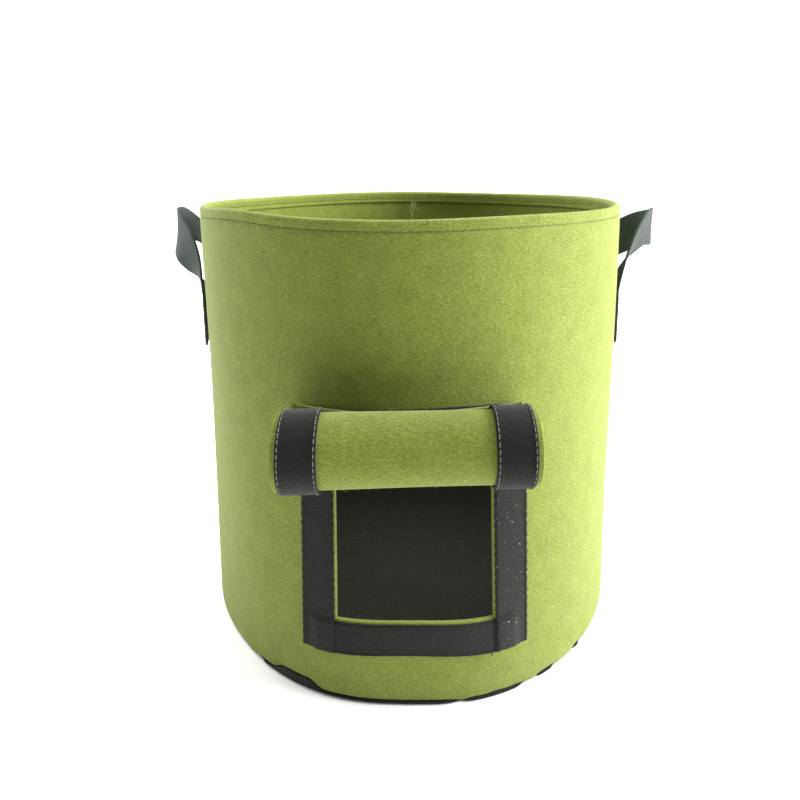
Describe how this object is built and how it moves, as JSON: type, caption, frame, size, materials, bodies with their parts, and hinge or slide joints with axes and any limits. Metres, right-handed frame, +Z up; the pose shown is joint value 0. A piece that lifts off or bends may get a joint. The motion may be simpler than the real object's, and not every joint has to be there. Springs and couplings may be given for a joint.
{
  "type": "fabric grow bag",
  "caption": "Round felt planting bag with a folded rim, a front harvest window under a rolled-up hook-and-loop flap, and webbing loop handles at the sides.",
  "frame": {"origin": "centre of the flat underside of the base", "axes": "+Z up out of the bag's mouth, -Y out through the window, +X to the right as seen from the window's side"},
  "size_m": [0.4273, 0.4121, 0.336],
  "materials": {
    "green_felt": "needle-punched lime green felt",
    "dark_felt": "near-black felt",
    "loop_tape": "near-black loop tape",
    "hook_tape": "near-black hook tape",
    "binding": "near-black woven edge",
    "webbing": "dark grey twill webbing",
    "green_thread": "green polyester thread",
    "dark_thread": "black polyester thread",
    "grey_thread": "pale grey polyester thread"
  },
  "bodies": {
    "bag": {"wall_panel": "green_felt", "base_panel": "dark_felt", "rim_stitch": "green_thread", "base_stitch": "dark_thread", "loop_tape_left": "loop_tape", "loop_tape_right": "loop_tape", "loop_tape_bottom": "loop_tape", "flap_header": "green_felt", "flap_binding": "binding", "handle_tab_left_front": "webbing", "box_stitch_left_front": "grey_thread", "handle_tab_left_back": "webbing", "box_stitch_left_back": "grey_thread", "handle_tab_right_front": "webbing", "box_stitch_right_front": "grey_thread", "handle_tab_right_back": "webbing", "box_stitch_right_back": "grey_thread"},
    "flap_01": {"flap_slice_01": "green_felt", "hook_tape_left_01": "hook_tape", "hook_tape_right_01": "hook_tape"},
    "flap_02": {"flap_slice_02": "green_felt", "hook_tape_left_02": "hook_tape", "hook_tape_right_02": "hook_tape"},
    "flap_03": {"flap_slice_03": "green_felt", "hook_tape_left_03": "hook_tape", "hook_tape_right_03": "hook_tape"},
    "flap_04": {"flap_slice_04": "green_felt", "hook_tape_left_04": "hook_tape", "hook_tape_right_04": "hook_tape"},
    "flap_05": {"flap_slice_05": "green_felt", "hook_tape_left_05": "hook_tape", "hook_tape_right_05": "hook_tape"},
    "flap_06": {"flap_slice_06": "green_felt", "hook_tape_left_06": "hook_tape", "hook_tape_right_06": "hook_tape"},
    "flap_07": {"flap_slice_07": "green_felt", "hook_tape_left_07": "hook_tape", "hook_tape_right_07": "hook_tape"},
    "flap_08": {"flap_slice_08": "green_felt", "hook_tape_left_08": "hook_tape", "hook_tape_right_08": "hook_tape"},
    "flap_09": {"flap_slice_09": "green_felt", "hook_tape_left_09": "hook_tape", "hook_tape_right_09": "hook_tape", "hook_tape_bottom_09": "hook_tape"},
    "flap_10": {"flap_slice_10": "green_felt", "hook_tape_left_10": "hook_tape", "hook_tape_right_10": "hook_tape", "hook_tape_bottom_10": "hook_tape"},
    "handle_left": {"handle_loop_left": "webbing"},
    "handle_right": {"handle_loop_right": "webbing"}
  },
  "joints": [
    {"name": "flap_curl_01", "type": "hinge", "parent": "bag", "child": "flap_01", "pos_m": [0, -0.1834, 0.20346], "axis": [1, 0, 0], "range_deg": [0, 25.57]},
    {"name": "flap_curl_02", "type": "hinge", "parent": "flap_01", "child": "flap_02", "pos_m": [0, -0.18973, 0.19018], "axis": [1, 0, 0], "range_deg": [0, 46.88]},
    {"name": "flap_curl_03", "type": "hinge", "parent": "flap_02", "child": "flap_03", "pos_m": [0, -0.20773, 0.18448], "axis": [1, 0, 0], "range_deg": [0, 46.93]},
    {"name": "flap_curl_04", "type": "hinge", "parent": "flap_03", "child": "flap_04", "pos_m": [0, -0.22368, 0.19342], "axis": [1, 0, 0], "range_deg": [0, 46.94]},
    {"name": "flap_curl_05", "type": "hinge", "parent": "flap_04", "child": "flap_05", "pos_m": [0, -0.22792, 0.21061], "axis": [1, 0, 0], "range_deg": [0, 46.94]},
    {"name": "flap_curl_06", "type": "hinge", "parent": "flap_05", "child": "flap_06", "pos_m": [0, -0.21858, 0.22496], "axis": [1, 0, 0], "range_deg": [0, 46.95]},
    {"name": "flap_curl_07", "type": "hinge", "parent": "flap_06", "child": "flap_07", "pos_m": [0, -0.2023, 0.22785], "axis": [1, 0, 0], "range_deg": [0, 46.95]},
    {"name": "flap_curl_08", "type": "hinge", "parent": "flap_07", "child": "flap_08", "pos_m": [0, -0.18953, 0.21829], "axis": [1, 0, 0], "range_deg": [0, 46.96]},
    {"name": "flap_curl_09", "type": "hinge", "parent": "flap_08", "child": "flap_09", "pos_m": [0, -0.18786, 0.20301], "axis": [1, 0, 0], "range_deg": [0, 46.97]},
    {"name": "flap_curl_10", "type": "hinge", "parent": "flap_09", "child": "flap_10", "pos_m": [0, -0.1975, 0.1918], "axis": [1, 0, 0], "range_deg": [0, 46.98]},
    {"name": "handle_fall_left", "type": "hinge", "parent": "bag", "child": "handle_left", "pos_m": [-0.17639, 0, 0.2583], "axis": [-0.0741, -0.9973, 0], "range_deg": [0, 115]},
    {"name": "handle_fall_right", "type": "hinge", "parent": "bag", "child": "handle_right", "pos_m": [0.17613, 0, 0.2583], "axis": [-0.1045, 0.9945, 0], "range_deg": [0, 115]}
  ],
  "couplings": [
    {"joint": "flap_curl_01", "follows": "flap_curl_02", "ratio": 0.54432},
    {"joint": "flap_curl_03", "follows": "flap_curl_02", "ratio": 1.0001},
    {"joint": "flap_curl_04", "follows": "flap_curl_02", "ratio": 1.0002},
    {"joint": "flap_curl_05", "follows": "flap_curl_02", "ratio": 1.0003},
    {"joint": "flap_curl_06", "follows": "flap_curl_02", "ratio": 1.0004},
    {"joint": "flap_curl_07", "follows": "flap_curl_02", "ratio": 1.0006},
    {"joint": "flap_curl_08", "follows": "flap_curl_02", "ratio": 1.0007},
    {"joint": "flap_curl_09", "follows": "flap_curl_02", "ratio": 1.0009},
    {"joint": "flap_curl_10", "follows": "flap_curl_02", "ratio": 1.001}
  ]
}
